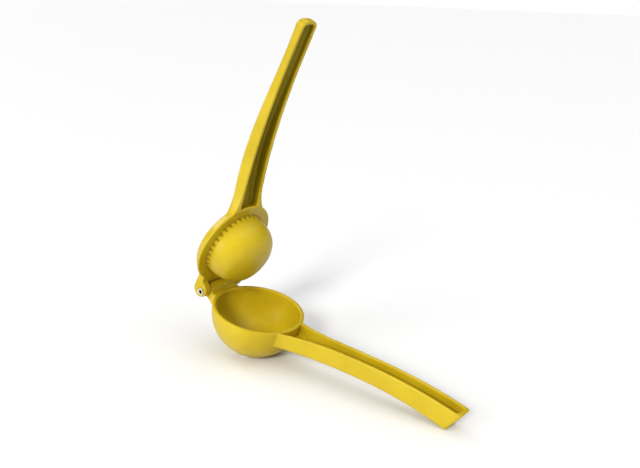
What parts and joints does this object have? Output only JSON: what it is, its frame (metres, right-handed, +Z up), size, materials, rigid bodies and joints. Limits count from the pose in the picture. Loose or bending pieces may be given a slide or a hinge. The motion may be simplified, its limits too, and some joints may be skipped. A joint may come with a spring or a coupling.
{
  "type": "hinged lemon squeezer",
  "caption": "Hinged hand press for halved lemons: a round drained cup and a domed plunger, each cast in one piece with a long channelled handle, joined by a rivet behind the cup.",
  "frame": {"origin": "centre of the footprint of the squeezer as it stands open, on the table", "axes": "+Z up, +X from the hinge along the lower handle, +Y across the jaws along the hinge rivet"},
  "size_m": [0.225, 0.07, 0.2486],
  "materials": {
    "lower_enamel": "glossy yellow enamel on cast aluminium",
    "upper_enamel": "glossy yellow enamel on cast aluminium",
    "rivet_steel": "bright steel, rolled end"
  },
  "bodies": {
    "lower": {"lower_jaw": "lower_enamel"},
    "upper": {"upper_jaw": "upper_enamel", "hinge_rivet": "rivet_steel"}
  },
  "joints": [
    {"name": "hinge", "type": "hinge", "parent": "lower", "child": "upper", "pos_m": [-0.10507, 0, 0.04439], "axis": [0, -1, 0], "range_deg": [-75.2, 75]}
  ]
}
